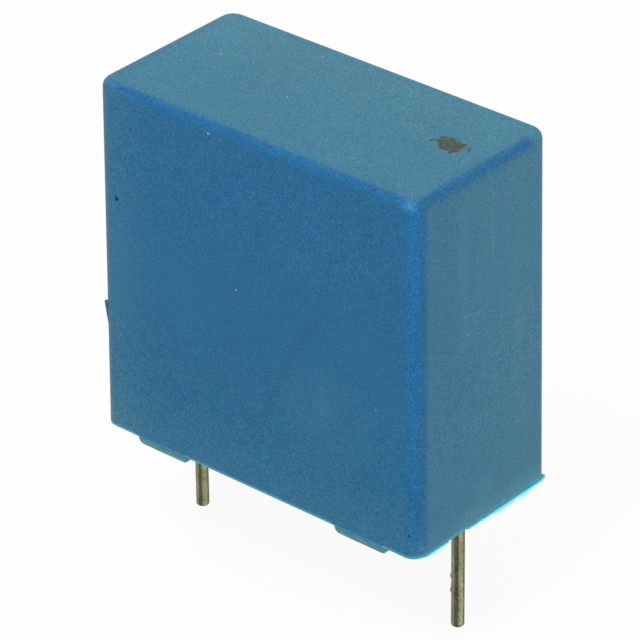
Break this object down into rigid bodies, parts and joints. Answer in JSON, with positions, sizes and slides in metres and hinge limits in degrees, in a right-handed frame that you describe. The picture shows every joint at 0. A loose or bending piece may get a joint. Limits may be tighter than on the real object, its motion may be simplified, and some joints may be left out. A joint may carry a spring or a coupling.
{
  "type": "box film capacitor",
  "caption": "Through-hole film capacitor in a rectangular moulded box, potted with resin, with round wire leads and low standoffs on its open side.",
  "frame": {"origin": "midway between the two leads, on the plane that the standoffs sit on", "axes": "+X from the left lead to the right lead, +Y towards the back, +Z out of the closed top; the leads point along -Z"},
  "size_m": [0.0183, 0.009, 0.0234],
  "materials": {
    "case": "fine-grained satin blue moulding",
    "resin": "cast epoxy, slightly glossy",
    "film": "wound metallised film",
    "end_spray": "dull, grainy sprayed zinc",
    "lead": "dull tin plating"
  },
  "bodies": {
    "root": {"case": "case", "potting_resin": "resin", "film_winding": "film", "end_spray_left": "end_spray", "end_spray_right": "end_spray", "lead_left": "lead", "lead_right": "lead"}
  },
  "joints": []
}
